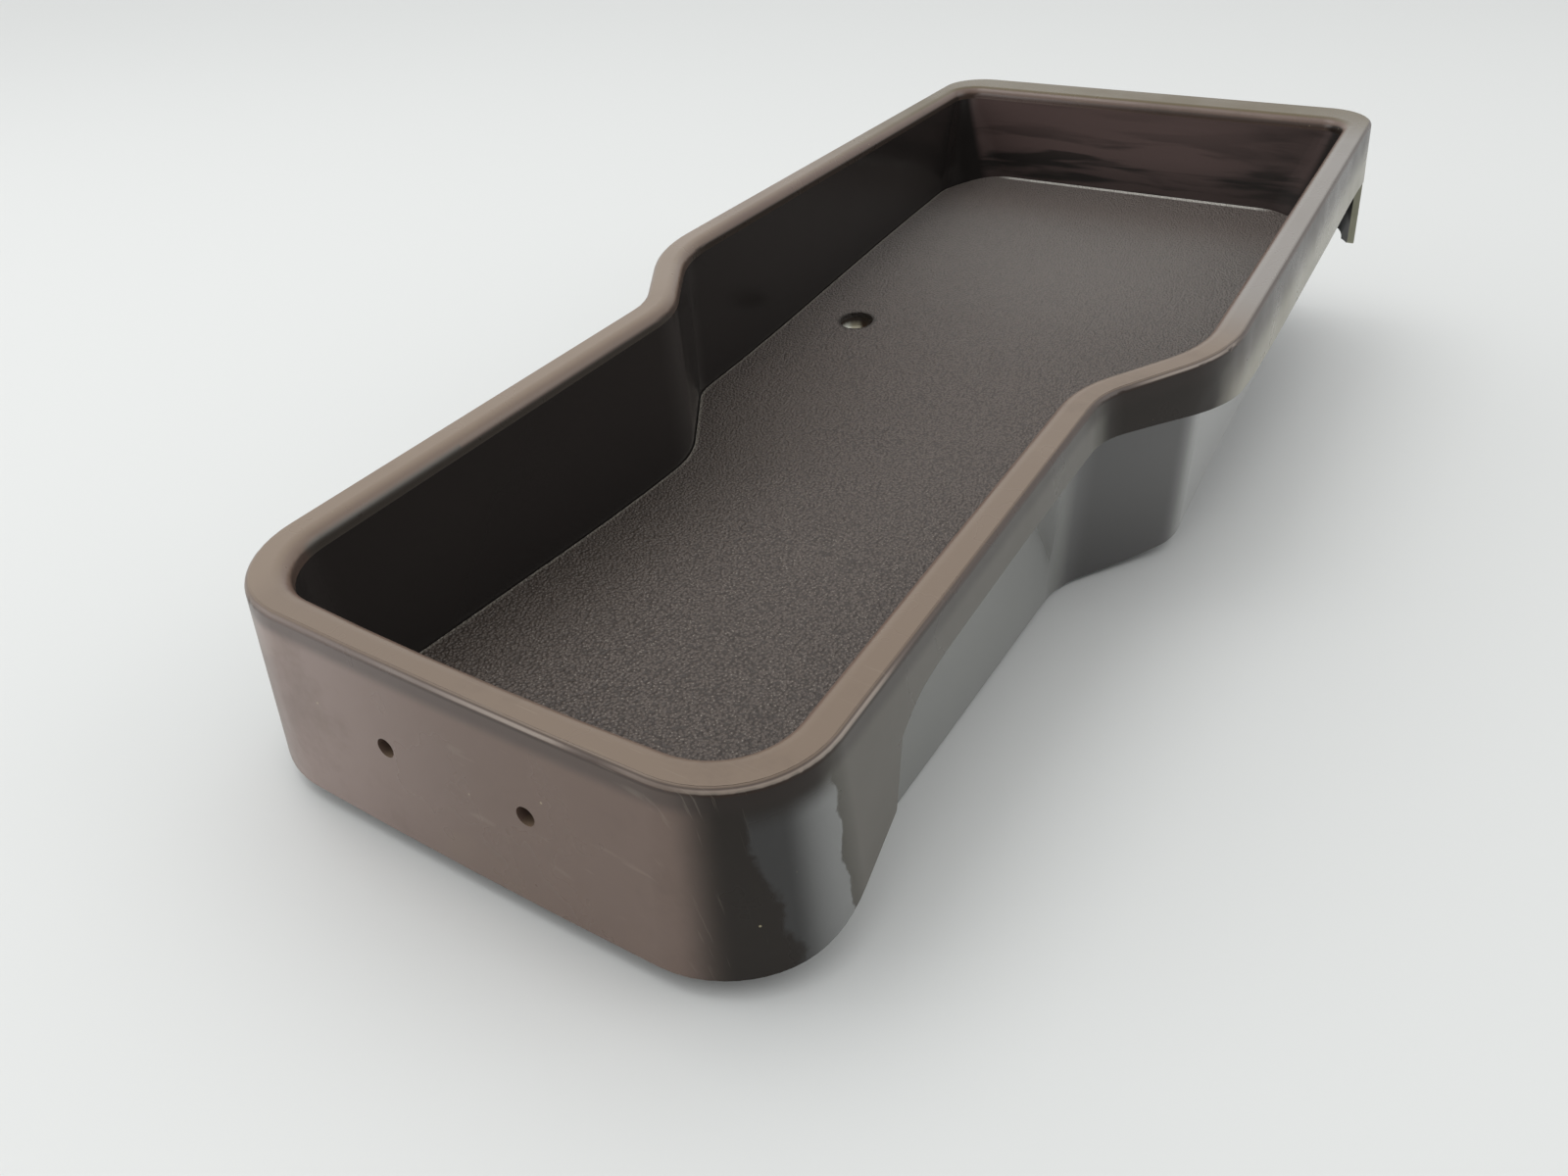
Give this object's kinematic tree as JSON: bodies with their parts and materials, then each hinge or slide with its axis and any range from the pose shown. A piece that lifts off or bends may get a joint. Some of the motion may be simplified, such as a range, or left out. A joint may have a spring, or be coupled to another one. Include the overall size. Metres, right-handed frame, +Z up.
{
  "type": "console oddments tray",
  "caption": "Open moulded tray with a narrow front bay and a wide rear bay, a rounded skirted rim, a deep front face with screw holes, two rear legs and a grained, bowed floor.",
  "frame": {"origin": "on the centre line, midway between the two screw towers, on the plane of the towers' lower ends", "axes": "+Y runs from the front face to the rear, +Z is up out of the tray, +X is to the right seen from the front"},
  "size_m": [0.192, 0.4494, 0.073],
  "materials": {
    "surround_plastic": "smooth satin taupe brown ABS, lightly worn along its edges",
    "tub_plastic": "very dark brown-grey ABS, satin inside and glossy outside",
    "grained_liner": "brown-grey plastic with a fine leather grain",
    "tower_plastic": "dark moulded plastic, plain"
  },
  "bodies": {
    "root": {"rim_surround": "surround_plastic", "tray_shell": "tub_plastic", "floor_liner": "grained_liner", "screw_towers": "tower_plastic"}
  },
  "joints": []
}
